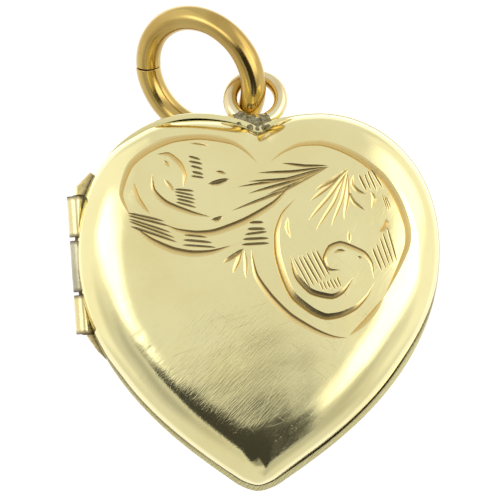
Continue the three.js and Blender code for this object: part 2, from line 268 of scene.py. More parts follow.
def new_object(name, verts, faces, angle=30, **masks):
    """Object from vertices in mm, with a point attribute for each mask."""
    me = bpy.data.meshes.new(name)
    me.from_pydata([tuple(v) for v in np.asarray(verts, float) * MM], [], [tuple(f) for f in faces])
    for mask, values in masks.items():
        add_mask(me, mask, values)
    finish_mesh(me, angle)
    return linked(name, me)


def finish_mesh(me, angle):
    """Closes pinholes, turns the faces outward and shades smooth up to an angle."""
    bm = bmesh.new()
    bm.from_mesh(me)
    bmesh.ops.holes_fill(bm, edges=[e for e in bm.edges if e.is_boundary], sides=4)
    bmesh.ops.recalc_face_normals(bm, faces=bm.faces)
    bm.to_mesh(me)
    bm.free()
    me.shade_smooth()
    me.set_sharp_from_angle(angle=math.radians(angle))


def loft(loops, cap_start=False, cap_end=False, wrap=False):
    """Faces through equal closed loops of points."""
    n = len(loops[0])
    verts = [p for loop in loops for p in loop]
    faces = []
    rows = len(loops)
    for i in range(rows if wrap else rows - 1):
        a, b = i * n, ((i + 1) % rows) * n
        for j in range(n):
            k = (j + 1) % n
            faces.append((a + j, a + k, b + k, b + j))
    if cap_start:
        faces.append(tuple(range(n))[::-1])
    if cap_end:
        faces.append(tuple(range((rows - 1) * n, rows * n)))
    return verts, faces


def heart_loop(d, y, n):
    """The front's outline inset by d as points in space, at y."""
    r = ring("front", d, n)
    return np.column_stack([r[:, 0], np.full(len(r), y), r[:, 1]])


def away_from_hinge(v, spans, thick=0.0):
    """Moves points inward out of the hinge's clearance, so a shell gets a round trough for it."""
    v = np.array(v, float)
    rel = v - HINGE_POINT
    along = rel @ HINGE_AXIS
    dx = rel @ HINGE_ACROSS
    for lo, hi, want in spans:
        wall = np.sqrt(np.clip((want + thick) ** 2 - rel[:, 1] ** 2, 0, None))
        hit = (along > lo) & (along < hi) & (np.abs(rel[:, 1]) < want + thick) & (dx < wall)
        v[hit] += (wall - dx)[hit][:, None] * HINGE_ACROSS
    return v


# stretches of the hinge and the radius that each cover keeps from its axis
SPANS = {
    "front": [(BOT[0] - 0.12, MID[0] - 0.08, ROOM), (MID[0] - 0.08, MID[1] + 0.08, KNUCKLE_R),
              (MID[1] + 0.08, TOP[1] + 0.12, ROOM)],
    "back": [(BOT[0] - 0.12, BOT[1], KNUCKLE_R), (BOT[1], TOP[0], ROOM),
             (TOP[0], TOP[1] + 0.12, KNUCKLE_R)],
}


# ---- engraving: strokes in mm on the front
# (width, side of the gentle facet along the direction of travel, darkness of its painted shade,
# deepest line)
LEFT, RIGHT, EVEN = 0.80, 0.20, 0.50
CUTS = [
    (0.42, RIGHT, 0.35, [(0.14, -3.61), (-0.55, -2.98), (-1.35, -2.52), (-3.02, -2.25),
        (-4.5, -2.41), (-5.86, -3.01), (-6.79, -3.83), (-7.28, -5.3), (-6.79, -6.6)]),
    (0.3, RIGHT, 0.3, [(-5.42, -3.12), (-4.71, -3.07), (-4.06, -3.61), (-3.79, -4.27),
        (-3.95, -4.92)]),
    (0.24, EVEN, 0.45, [(-5.04, -3.45), (-4.61, -3.83)]),
    (0.24, EVEN, 0.45, [(-4.99, -4.48), (-4.39, -5.19)]),
    (0.32, RIGHT, 0.78, [(-5.64, -4.16), (-5.5, -5.05), (-4.82, -5.72), (-3.46, -6.27),
        (-2.42, -6.56)]),
    (0.3, EVEN, 0.78, [(-2.42, -6.72), (-2.05, -6.7), (-1.77, -6.5)]),
    (0.28, RIGHT, 0.25, [(-6.68, -4.59), (-6.35, -5.52), (-5.75, -6.39)]),
    (0.4, RIGHT, 0.78, [(-5.1, -6.89), (-4.28, -7.21), (-3.24, -7.36), (-2.2, -7.27),
        (-0.62, -6.67), (0.96, -5.74), (2.11, -4.6)]),
    (0.4, RIGHT, 0.78, [(-6.65, -7.05), (-5.64, -7.75), (-4.5, -8.25), (-3.46, -8.45),
        (-2.4, -8.4), (-1.28, -8.1)]),
    (0.36, EVEN, 1.0, [(-2.6, -4.76), (-2.1, -4.7), (-1.4, -4.48)]),
    (0.2, EVEN, 0.5, [(-2.2, -4.05), (-1.55, -4.21)]),
    (0.42, RIGHT, 0.35, [(7.02, -10.98), (7.73, -9.4), (8.22, -8.1), (8.22, -7.1), (7.73, -5.74),
        (6.91, -4.48), (5.66, -3.45), (4.62, -2.9), (3.58, -2.6), (2.38, -2.66), (1.45, -3.07),
        (0.74, -3.61)]),
    (0.42, LEFT, 0.65, [(2.22, -5.52), (1.45, -6.34), (1.07, -7.38), (1.1, -8.63), (1.45, -9.89),
        (2.0, -10.98), (3.04, -11.8), (3.85, -12.12), (4.72, -11.98), (5.55, -11.55),
        (6.15, -10.87), (6.53, -10.11)]),
    (0.34, LEFT, 0.74, [(1.89, -8.63), (2.16, -9.83), (3.0, -10.72), (4.18, -11.0), (4.85, -10.65),
        (5.38, -9.83)]),
    (0.3, LEFT, 0.74, [(6.48, -9.95), (6.4, -9.07), (5.98, -8.47), (5.11, -8.06), (4.62, -7.92),
        (4.0, -8.16), (3.69, -8.86), (4.0, -9.45), (4.67, -9.45)]),
    (0.22, EVEN, 0.74, [(5.11, -7.27), (5.14, -8.03)]),
    (0.24, EVEN, 0.55, [(1.78, -6.56), (1.73, -7.16), (1.92, -7.7)]),
    (0.22, EVEN, 0.7, [(5.05, -5.05), (5.4, -5.75), (6.02, -6.22)]),
    (0.34, LEFT, 0.15, [(7.19, -6.61), (7.05, -7.05), (6.75, -7.38)]),
    (0.38, RIGHT, 0.78, [(-0.24, -8.31), (0.12, -9.72), (0.96, -10.9), (2.0, -11.91),
        (3.36, -12.72), (4.3, -13.08), (5.06, -13.16)]),
    (0.3, RIGHT, 0.35, [(5.11, -13.05), (6.04, -12.13), (7.02, -10.98)]),
    (0.24, EVEN, 0.6, [(5.35, -4.25), (5.3, -4.75), (5.62, -5.15), (6.05, -5.3)]),
    (0.26, EVEN, 0.3, [(6.35, -6.1), (6.5, -5.55), (6.3, -5.15)]),
    (0.16, EVEN, 0.75, [(-3.66, -2.5), (-3.05, -2.56), (-2.52, -2.66)]),
    (0.2, EVEN, 0.4, [(4.25, -8.55), (4.55, -8.4), (4.95, -8.42)]),
    (0.18, EVEN, 0.4, [(5.55, -8.75), (5.85, -8.8)]),
]
# groups of parallel ticks: (how many, first start, first end, last start, last end, width)
HATCHES = [
    (5, (-3.62, -3.26), (-3.02, -3.39), (-3.42, -4.32), (-2.8, -4.43), 0.17),
    (5, (-4.33, -4.98), (-3.4, -5.14), (-4.22, -5.79), (-3.3, -6.01), 0.16),
    (5, (-6.85, -6.34), (-5.1, -6.78), (-6.66, -7.08), (-4.45, -7.87), 0.19),
    (3, (-3.83, -7.54), (-2.69, -7.65), (-3.82, -8.1), (-2.27, -8.25), 0.18),
    (5, (-0.3, -6.89), (0.42, -6.89), (-0.66, -8.09), (0.69, -8.0), 0.19),
    (6, (2.18, -8.9), (2.98, -10.38), (3.32, -8.42), (4.02, -9.66), 0.15),
    (6, (3.53, -10.12), (3.72, -10.58), (4.46, -9.85), (4.7, -10.37), 0.12),
    (5, (6.46, -8.36), (6.91, -9.45), (7.22, -7.27), (7.68, -8.85), 0.16),
    (4, (5.72, -4.33), (6.06, -5.12), (6.38, -4.0), (6.93, -4.9), 0.16),
    (3, (6.95, -5.35), (7.25, -6.15), (7.15, -5.45), (7.4, -6.05), 0.1),
]
# sprays of cuts that all leave one point: (root, tips, width)
SPRAYS = [
    ((4.05, -3.79), [(1.45, -3.62), (0.1, -4.15), (-0.4, -4.62), (-1.0, -4.92), (-0.4, -5.28),
        (-1.3, -6.23), (0.6, -5.35)], 0.21),
    ((5.05, -3.95), [(3.26, -5.1), (2.98, -5.7), (2.9, -6.75), (3.3, -7.3), (4.15, -7.05),
        (4.85, -6.7)], 0.25),
    ((-0.62, -8.36), [(-1.77, -9.07), (-1.22, -9.62), (-0.51, -9.89)], 0.3),
]
CUT_DEPTH = 0.24  # depth of a cut over its width


def spline(points, step, pull=0.36):
    """Curve through the points; a pull under 0.5 leaves a slight corner at each, as a graver does."""
    p = np.array(points, float)
    if len(p) == 2:
        n = max(3, int(np.linalg.norm(p[1] - p[0]) / step))
        return p[0] + (p[1] - p[0]) * np.linspace(0, 1, n + 1)[:, None]
    q = np.vstack([2 * p[0] - p[1], p, 2 * p[-1] - p[-2]])
    out = [p[0]]
    for i in range(1, len(q) - 2):
        n = max(2, int(np.linalg.norm(q[i + 1] - q[i]) / step))
        m0, m1 = (q[i + 1] - q[i - 1]) * pull, (q[i + 2] - q[i]) * pull
        for t in np.arange(1, n + 1) / n:
            t2, t3 = t * t, t**3
            out.append((2 * t3 - 3 * t2 + 1) * q[i] + (t3 - 2 * t2 + t) * m0
                       + (3 * t2 - 2 * t3) * q[i + 1] + (t3 - t2) * m1)
    return np.array(out)


def make_strokes():
    """Each stroke: centre line, width along it, share of the width left of it, darkness of its painted
    shade.
    """
    strokes = []

    def add(points, width, left, dark, peak, step=0.22, fullness=2.6):
        line = spline(points, step)
        t = lengths(line) / lengths(line)[-1]
        taper = np.clip(np.minimum(t / peak, (1 - t) / (1 - peak)), 0, 1)
        taper = 1 - (1 - taper) ** fullness
        strokes.append((line, width * taper, left, dark))

    for width, left, dark, points in CUTS:
        add(points, width, left, dark, 0.5)
    for count, a0, a1, b0, b1, width in HATCHES:
        for i in range(count):
            k = i / max(count - 1, 1)
            p = np.array(a0) * (1 - k) + np.array(b0) * k + rng.normal(0, 0.03, 2)
            q = np.array(a1) * (1 - k) + np.array(b1) * k + rng.normal(0, 0.03, 2)
            p, q = p + (p - q) * 0.10, q + (q - p) * 0.10
            add([p, q], width * rng.uniform(0.85, 1.1), EVEN, 1.0, 0.45, 0.10, 4.5)
    for root, tips, width in SPRAYS:
        for tip in tips:
            r = np.array(root) + rng.normal(0, 0.05, 2)
            mid = (r + np.array(tip)) / 2
            across = np.array([-(tip[1] - r[1]), tip[0] - r[0]])
            mid = mid + across * rng.uniform(0.03, 0.07)
            add([r, mid, tip], width * rng.uniform(0.8, 1.1), 0.35, 0.64, 0.55, 0.16)
    return strokes


def stroke_sides(line, width, left, dark):
    """The two borders of a stroke."""
    t = np.gradient(line, axis=0)
    t /= np.linalg.norm(t, axis=1)[:, None]
    n = np.column_stack([-t[:, 1], t[:, 0]])
    return line + n * (width * left)[:, None], line - n * (width * (1 - left))[:, None]


def engrave(p, strokes):
    """Under each point: depth cut, how far down its facet it lies, and how much painted shade it gets.
    """
    depth, groove, shade = np.zeros(len(p)), np.zeros(len(p)), np.zeros(len(p))
    for line, width, left, dark in strokes:
        pad = width.max() + 0.05
        near = np.nonzero(((p > line.min(0) - pad) & (p < line.max(0) + pad)).all(1))[0]
        if not len(near):
            continue
        ab = np.diff(line, axis=0)
        q, t, dist = to_segments(p[near], line[:-1], ab)
        i = dist.argmin(1)
        rows = np.arange(len(near))
        w = width[i] + (width[i + 1] - width[i]) * t[rows, i]
        cross = ab[i, 0] * q[rows, i, 1] - ab[i, 1] * q[rows, i, 0]
        reach = np.where(cross > 0, left, 1 - left) * w
        rel = np.clip(1 - dist[rows, i] / np.maximum(reach, 1e-6), 0, 1)
        rel[(reach < 0.004) | (rel < 0.02)] = 0
        seen = rel * np.clip(w / 0.06, 0, 1)
        depth[near] = np.maximum(depth[near], CUT_DEPTH * w * rel)
        # both masks become painted shade in the material: a darker tint on the facets and a near-black
        # line along the bottom
        groove[near] = np.maximum(groove[near], seen)
        shade[near] = np.maximum(shade[near], seen * dark)
    return depth, groove, shade


# small knocks in the face: (x, z, radius, depth)
DENTS = [(-6.35, -13.05, 0.34, 0.012), (-6.16, -15.33, 0.12, 0.012), (-5.75, -13.75, 0.16, 0.008),
         (-7.15, -11.2, 0.14, 0.012), (-6.95, -12.0, 0.10, 0.010),
         (-2.4, -12.4, 0.13, 0.008), (1.9, -15.2, 0.10, 0.008), (-8.0, -4.6, 0.15, 0.012)]


def wear_relief(p):
    """Long shallow unevenness of hand-worn sheet gold, and its knocks."""
    x, z = p[:, 0], p[:, 1]
    h = 0.0045 * np.sin(1.15 * x + 0.7 * z + 0.4) * np.sin(0.8 * z - 0.55 * x + 1.9)
    h += 0.0020 * np.sin(2.3 * x - 1.7 * z + 2.2) * np.sin(2.0 * z + 1.2 * x)
    for cx, cz, r, d in DENTS:
        h -= d * np.exp(-((x - cx) ** 2 + (z - cz) ** 2) / (r * r) * 2)
    return h


# ---- covers
def roll_rows(lo_d, hi_d, count):
    """Insets spaced evenly round the roll's curve."""
    q = 2 / ROLL_POWER
    a = np.linspace(*(math.acos(max(0.0, 1 - d / ROLL_WIDTH) ** (1 / q)) for d in (lo_d, hi_d)), count)
    return ROLL_WIDTH * (1 - np.cos(a) ** q)


def thumb_notch(p):
    """Height over the seam of the notch in the front's edge, left of the tip."""
    r = np.hypot((p[:, 0] - (HEART_X - 1.05)) / 0.62, (p[:, 1] + 20.75) / 0.7)
    return 0.36 * np.sqrt(np.clip(1 - r * r, 0, 1))


def fade(v, width):
    """0 below zero, rising to 1 at the width."""
    return np.clip(v / width, 0, 1)


def seam_shade(p):
    """Share of painted shade along the seam: most at the lower right, least at the upper right."""
    x, z = p[:, 0], p[:, 1]
    low_right = fade(x - 1, 3) * fade(-9 - z, 4)
    low_left = 0.6 * fade(-1 - x, 3) * fade(-11 - z, 4)
    top_left = 0.08 * fade(-1 - x, 2) * fade(z + 6, 2)
    return 0.06 + 0.94 * np.maximum(np.maximum(low_right, low_left), top_left)


def points_at(half, xz, h):
    """Points (x, z) at height h over the seam."""
    return np.column_stack([xz[:, 0], SEAM_Y + SIGN[half] * h, xz[:, 1]])


def inner_loops(half, around):
    """The inside of a cover, from the middle out to the edge."""
    loops = []
    width = ROLL_WIDTH - SHELL * 0.6
    depth = ROLL_HEIGHT - SHELL
    q = 2 / ROLL_POWER
    for d in (4.9, 4.0, 3.2):
        r = ring(half, d, around)
        loops.append(points_at(half, r, depth + crown_at(r[:, 0], r[:, 1])))
    for a in np.linspace(math.pi / 2, 0.02, 10):
        r = ring(half, SHELL + width * (1 - math.cos(a) ** q), around)
        h = depth * math.sin(a) ** q
        loops.append(points_at(half, r, h + crown_at(r[:, 0], r[:, 1]) * h / ROLL_HEIGHT))
    return loops


def outer_loops(half, around):
    """The edge and the roll, from the inside out to the face, and the painted shade on each loop."""
    edge = ring(half, 0.0, around)
    gap_shade = seam_shade(edge)
    low_right = np.clip((edge[:, 0] - 2) / 3, 0, 1) * np.clip((-9 - edge[:, 1]) / 4, 0, 1)
    gap = LIP + (0.17 * low_right if half == "front" else 0)
    loops = [points_at(half, ring(half, SHELL, around), np.full(2 * around, 0.03)),
             points_at(half, ring(half, SHELL - 0.03, around), np.zeros(2 * around))]
    # painted shade along the seam: on the inner edge, on the back's ledge where the front's edge
    # covers it, and on the first row of the front's roll
    dirt = [gap_shade, gap_shade]
    front_edge = ring("front", 0, 300)
    for d in np.linspace(SHELL - 0.06, LIP, 7 if half == "back" else 2):
        r = ring(half, d, around)
        loops.append(points_at(half, r, np.zeros(2 * around)))
        dirt.append(np.clip(1.15 - distance_outside(r, front_edge) / 0.16, 0, 1) * gap_shade)
    for k, d in enumerate(roll_rows(0.0012, FACE_START, 18)):
        r = ring(half, d, around)
        h = np.maximum(height(half, r), gap + k * 0.004) + wear_relief(r) * min(d, 1)
        loops.append(points_at(half, r, h))
        dirt.append(gap_shade * (0.9 if k == 0 and half == "front" else 0.0))
    return loops, np.concatenate(dirt)


def face_field(half, around, strokes):
    """Points spread over the face, left out where a stroke brings its own."""
    rows = np.arange(FACE_START + 0.13, 3.3, 0.16)
    points = [ring(half, d, max(60, int(around * (0.95 - d * 0.06)))) for d in rows]
    inner_rim = ring(half, 3.3, 80)
    gx, gz = np.meshgrid(np.arange(-10, 10.5, 0.34), np.arange(-22, 0, 0.30))
    gx[1::2] += 0.17
    grid = np.column_stack([gx.ravel(), gz.ravel()])
    grid = grid[inside(grid, inner_rim)]
    clear = seg_distance(grid, inner_rim, np.roll(inner_rim, -1, 0)) > 0.12
    field = np.vstack(points + [inner_rim, grid[clear]])
    keep = np.ones(len(field), bool)
    for line, width, _, _ in strokes:
        near = ((field > line.min(0) - 0.3) & (field < line.max(0) + 0.3)).all(1)
        idx = np.nonzero(near)[0]
        if len(idx):
            dist = seg_distance(field[idx], line[:-1], line[1:])
            keep[idx[dist < width.max() * 0.8 + 0.05]] = False
    return field[keep]


def cut_face(rim, field, strokes):
    """Triangles over the face that follow each stroke's centre line and both its borders."""
    coords = [rim, field]
    edges = []
    count = len(rim) + len(field)
    for stroke in strokes:
        line = stroke[0]
        left, right = stroke_sides(*stroke)
        ends = count, count + len(line) - 1
        for side in (line, left[1:-1], right[1:-1]):
            coords.append(side)
            ids = list(range(count, count + len(side)))
            count += len(side)
            if side is not line:
                ids = [ends[0], *ids, ends[1]]
            edges += zip(ids[:-1], ids[1:])
    edges += [(i, (i + 1) % len(rim)) for i in range(len(rim))]
    out = delaunay_2d_cdt([Vector(p) for p in np.vstack(coords)], edges, [], 0, 1e-5, True)
    points = np.array([tuple(p) for p in out[0]])
    tris = np.array([tuple(f) for f in out[2]])
    return points, tris[inside(points[tris].mean(1), rim)], out[3]


def shell_object(name, half, around, strokes=()):
    """A cover in one closed mesh: its inside, edge and roll, and the engraved face."""
    n = 2 * around
    inner = inner_loops(half, around)
    outer, gap_shade = outer_loops(half, around)
    verts, faces = loft(inner + outer)
    verts = np.array(verts)
    faces.append(tuple(range(n)))
    dirt = np.concatenate([np.zeros(len(inner) * n), gap_shade])
    first_outer = (len(inner) + 1) * n
    verts[first_outer:] = away_from_hinge(verts[first_outer:], SPANS[half])
    verts[:first_outer] = away_from_hinge(verts[:first_outer], SPANS[half], 0.14)
    if half == "front":
        lift = thumb_notch(verts[:, [0, 2]])
        h = (verts[:, 1] - SEAM_Y) * SIGN[half]
        verts[:, 1] = SEAM_Y + SIGN[half] * np.where(h < 1.0, np.maximum(h, lift), h)
        # painted shade on the edge where it is lifted into the thumb notch
        dirt = np.maximum(dirt, (lift > h + 0.02) * 0.9)
    rim = verts[-n:][:, [0, 2]]
    points, tris, origins = cut_face(rim, face_field(half, around, strokes), strokes)
    cut, groove, shade = engrave(points, strokes)
    face_verts = points_at(half, points, height(half, points) - cut + wear_relief(points))
    # face points on the rim are the roll's own last row
    index, extra = [], []
    for point, origin in zip(face_verts, origins):
        on_rim = [o for o in origin if o < n]
        if on_rim:
            index.append(len(verts) - n + on_rim[-1])
        else:
            index.append(len(verts) + len(extra))
            extra.append(point)
    all_verts = np.vstack([verts, extra])
    all_faces = faces + np.array(index)[tris].tolist()
    # masks: how far down a cut's facet, the painted shade of the cuts, and the painted shade in the
    # seam and the notch
    masks = np.zeros((3, len(all_verts)))
    masks[0, index] = groove
    masks[1, index] = shade
    masks[2, :len(dirt)] = dirt
    return new_object(name, all_verts, all_faces, 14, groove=masks[0], shade=masks[1], dirt=masks[2])


# ---- heart rings and plates inside the locket
def band_object(name, half, profile, around=150):
    """Closed band: profile is a loop of (inset, depth from the seam), outline of the front."""
    sign = SIGN[half]
    loops = [heart_loop(d, SEAM_Y + sign * y, around) for d, y in profile]
    verts, faces = loft(loops, wrap=True)
    room = [(BOT[0] - 0.3, TOP[1] + 0.3, ROOM)]
    return new_object(name, away_from_hinge(verts, room, 0.02), faces, 35)


def chamfered(profile, c):
    """Cuts each corner of a loop of (inset, depth) points."""
    out = []
    n = len(profile)
    for i in range(n):
        p = np.array(profile[i], float)
        for q in (np.array(profile[i - 1], float), np.array(profile[(i + 1) % n], float)):
            d = q - p
            out.append(tuple(p + d / np.linalg.norm(d) * min(c, np.linalg.norm(d) * 0.4)))
    return out


def plate_object(name, half, inset, y0, y1, wobble=0.0, around=120):
    """Thin heart plate between two depths, flat or slightly uneven, with its edges eased."""
    sign = SIGN[half]
    rows = [inset + 0.03, inset + 0.4] + ([inset + 1.2] if wobble else [])
    sides = []
    for y, ease in ((y0, 0.02), (y1, -0.02)):
        side = [heart_loop(inset, SEAM_Y + sign * (y + ease), around)]
        for d in rows:
            p = heart_loop(d, 0, around)
            wave = wobble * np.sin(p[:, 0] * 1.1 + 0.6) * np.sin(p[:, 2] * 0.8) * min(d - inset, 1)
            p[:, 1] = SEAM_Y + sign * (y + wave)
            side.append(p)
        sides.append(side)
    verts, faces = loft(sides[0][::-1] + sides[1], cap_start=True, cap_end=True)
    return new_object(name, verts, faces, 40)


# ---- wire and rods
def turns(n):
    """n even angles round a circle."""
    return np.arange(n) * 2 * math.pi / n


def circle(centre, u, v, r, a):
    """Points at angles a round a centre, r being one radius for each."""
    return centre + np.cos(a)[:, None] * r[:, None] * u + np.sin(a)[:, None] * r[:, None] * v


def frame_of(axis, hint):
    """Two unit directions square to an axis, the first nearest the hint, and the axis."""
    n = np.array(axis, float)
    n /= np.linalg.norm(n)
    u = np.array(hint, float)
    u -= n * (u @ n)
    u /= np.linalg.norm(u)
    return u, np.cross(n, u), n


def wire_ring(name, radius, wire, centre, axes, steps, around, shape, gap=0.0):
    """Round of wire. shape(t, a) scales the wire's radius; a gap leaves its ends butted."""
    u, v, n = axes
    half = gap / 2 / radius
    ts = turns(steps)
    if gap:
        ts = np.linspace(half + 0.012, 2 * math.pi - half - 0.012, steps)
        ts = np.concatenate([[half], ts, [2 * math.pi - half]])
    a = turns(around)
    loops = []
    for i, t in enumerate(ts):
        out = math.cos(t) * u + math.sin(t) * v
        r = wire * shape(t, a)
        shift = 0.0
        if gap:
            # the ends stand a little past each other
            shift = 0.035 * math.exp(-t / 0.25) - 0.025 * math.exp(-(2 * math.pi - t) / 0.25)
            if i in (0, len(ts) - 1):
                r = r - 0.035
        loops.append(circle(np.array(centre) + radius * out, out, n, r, a) + n * shift)
    verts, faces = loft(loops, cap_start=bool(gap), cap_end=bool(gap), wrap=not gap)
    return new_object(name, verts, faces, 35)


def tube_object(name, outer, bore, span, waviness=0.018, around=48):
    """Hinge knuckle: a tube along the hinge with softened ends, with painted shade at the ends and on
    the side towards the cover.
    """
    u, v, n = frame_of(HINGE_AXIS, (1, 0, 0))
    lo, hi = span
    rows = [(outer - 0.05, lo), (outer - 0.015, lo + 0.015), (outer, lo + 0.06)]
    rows += [(outer, s) for s in np.linspace(lo + 0.25, hi - 0.25, 9)]
    rows += [(outer, hi - 0.06), (outer - 0.015, hi - 0.015), (outer - 0.05, hi)]
    rows += [(bore + 0.02, hi), (bore, hi - 0.02), (bore, lo + 0.02), (bore + 0.02, lo)]
    a = turns(around)
    # painted shade on the side that faces the cover
    side = np.clip(np.cos(a) * 1.6 - 0.75, 0, 1)
    loops, dirt = [], []
    for r, s in rows:
        rr = np.full(around, r)
        if r > outer - 0.02:
            rr = rr - waviness * (0.5 + 0.5 * np.sin(3 * a + s * 4) * np.cos(s * 7 + a))
        loops.append(circle(HINGE_POINT + n * s, u, v, rr, a))
        # painted shade at the ends, where the knuckles meet
        end = np.clip(1.2 - min(s - lo, hi - s) / 0.16, 0, 1)
        dirt.append(np.clip(end + side, 0, 1))
    verts, faces = loft(loops, wrap=True)
    return new_object(name, verts, faces, 35, dirt=np.concatenate(dirt))


def rod_object(name, rows, around=32):
    """Solid of revolution along the hinge from (radius, place) rows."""
    u, v, n = frame_of(HINGE_AXIS, (1, 0, 0))
    loops = [circle(HINGE_POINT + n * s, u, v, np.full(around, r), turns(around)) for r, s in rows]
    verts, faces = loft(loops, cap_start=True, cap_end=True)
    return new_object(name, verts, faces, 40)


def lumps(name, drops, voxel, rough, seed, smooth=3):
    """Drops of (x, y, z, radius) in mm run together, with a slightly grainy skin."""
    bm = bmesh.new()
    for *place, r in drops:
        bmesh.ops.create_icosphere(bm, subdivisions=2, radius=r, matrix=Matrix.Translation(place))
    me = bpy.data.meshes.new(name)
    bm.to_mesh(me)
    bm.free()
    return skinned(name, me, voxel, rough, seed, smooth)


def skinned(name, me, voxel, rough, seed, smooth):
    """The mesh (in mm) remeshed finely, softened and roughened; the object is in metres."""
    o = linked(name, me)
    m = o.modifiers.new("remesh", "REMESH")
    m.mode, m.voxel_size = "VOXEL", voxel
    soft = o.modifiers.new("smooth", "SMOOTH")
    soft.factor, soft.iterations = 0.5, smooth
    done = bpy.data.meshes.new_from_object(o.evaluated_get(bpy.context.evaluated_depsgraph_get()))
    o.modifiers.clear()
    o.data = done
    co, normal = per_vertex(done, "co"), per_vertex(done, "normal")
    local = np.random.default_rng(seed)
    freq = local.uniform(4, 16, (14, 3)) * local.choice([-1, 1], (14, 3))
    wave = np.sin(co @ freq.T + local.uniform(0, 6.28, 14)).sum(1) / 6
    co = co - normal * (rough * (0.6 + wave))[:, None]
    done.vertices.foreach_set("co", (co * MM).ravel())
    done.update()
    finish_mesh(done, 60)
    return o


def from_cad(name, node, voxel, rough, seed, smooth=4):
    """The CAD solid with its edges eased and its skin a little uneven."""
    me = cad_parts[node].data.copy()
    me.name = name
    me.transform(Matrix.Scale(1000, 4))
    return skinned(name, me, voxel, rough, seed, smooth)


def dirty_near_cover(o, reach):
    """Adds a painted shade mask that fades with distance from the front cover's edge."""
    off = distance_outside(per_vertex(o.data, "co")[:, [0, 2]] / MM, ring("front", 0, 300))
    add_mask(o.data, "dirt", np.clip(1.2 - off / reach, 0, 1))
    return o


# ---- materials
class Nodes:
    """Short hand for building a node tree."""

    def __init__(self, tree):
        self.tree = tree
        tree.nodes.clear()

    def add(self, kind, **inputs):
        node = self.tree.nodes.new(kind)
        for key, value in inputs.items():
            if key.startswith("_"):
                setattr(node, key[1:], value)
            else:
                self.put(node, key.replace("__", " "), value)
        return node

    def put(self, node, socket, value):
        by_number = socket[0] == "i" and socket[1:].isdigit()
        target = node.inputs[int(socket[1:]) if by_number else socket]
        if isinstance(value, bpy.types.NodeSocket):
            self.tree.links.new(value, target)
        else:
            target.default_value = value

    def math(self, op, a, b=0.0, c=None, clamp=False):
        n = self.add("ShaderNodeMath", _operation=op, i0=a, i1=b)
        n.use_clamp = clamp
        if c is not None:
            n.inputs[2].default_value = c
        return n.outputs[0]

    def spread(self, value, from_min, from_max, to_min, to_max, kind="LINEAR"):
        n = self.add("ShaderNodeMapRange", Value=value, _interpolation_type=kind)
        for socket, v in (("From Min", from_min), ("From Max", from_max),
                          ("To Min", to_min), ("To Max", to_max)):
            n.inputs[socket].default_value = v
        return n.outputs[0]

    def noise(self, vector, scale, detail, rough=0.5):
        return self.add("ShaderNodeTexNoise", Vector=vector, Scale=scale, Detail=detail,
                        Roughness=rough).outputs["Fac"]

    def bump(self, strength, distance, height):
        return self.add("ShaderNodeBump", Strength=strength, Distance=distance,
                        Height=height).outputs[0]

    def ramp(self, value, stops):
        """Colour ramp over (place, colour) stops; a colour is three numbers, or one for a grey."""
        n = self.add("ShaderNodeValToRGB", Fac=value)
        el = n.color_ramp.elements
        el.remove(el[0])
        for i, (place, colour) in enumerate(stops):
            e = el.new(place) if i else el[0]
            e.position = place
            e.color = solid(colour)
        return n.outputs["Color"]

    def mix(self, fac, a, b, blend="MIX"):
        n = self.add("ShaderNodeMix", _data_type="RGBA", _blend_type=blend)
        self.put(n, "i0", fac)
        self.put(n, "i6", a)
        self.put(n, "i7", b)
        return n.outputs[2]


def solid(colour):
    """The colour as four numbers with full alpha."""
    return (*colour, 1) if isinstance(colour, tuple) else (colour, colour, colour, 1)


def shaded(colour, *factors):
    """The colour with each of its channels scaled."""
    return solid(tuple(c * f for c, f in zip(colour, factors)))


def scratches(n, vec, turn, fine, long, lo, hi):
    """Thin lines along one direction: noise stretched hard, cut to its crests."""
    m = n.add("ShaderNodeMapping", _vector_type="TEXTURE", Vector=vec, Rotation=(0, turn, 0),
              Scale=(1 / fine, 1 / fine, 1 / long))
    return n.ramp(n.noise(m.outputs[0], 1.0, 2.0), [(lo, 0.0), (hi, 1.0)])


def new_material(name, **inputs):
    """An empty material: it, its nodes, its surface shader and the place on the object in mm."""
    mat = bpy.data.materials.new(name)
    mat.use_nodes = True
    n = Nodes(mat.node_tree)
    bsdf = n.add("ShaderNodeBsdfPrincipled", **inputs)
    n.add("ShaderNodeOutputMaterial", Surface=bsdf.outputs[0])
    pos = n.add("ShaderNodeTexCoord").outputs["Object"]
    place = n.add("ShaderNodeVectorMath", _operation="SCALE", i0=pos, Scale=1 / MM).outputs[0]
    return mat, n, bsdf, place


# scratch directions: turn, fineness, stretch, and the noise levels they are cut between
SCRATCHES = [(0.35, 11.0, 0.16, 0.69, 0.74), (-0.75, 14.0, 0.22, 0.70, 0.75),
             (1.25, 12.0, 0.18, 0.70, 0.75), (2.20, 17.0, 0.30, 0.69, 0.75)]
# colour of the painted shade at the bottom of the cuts
CUT_SHADE_COLOUR = (0.085, 0.068, 0.028)
# colour of the painted shade in the seam, the notch and the hinge's gaps
GAP_SHADE_COLOUR = (0.075, 0.052, 0.022)


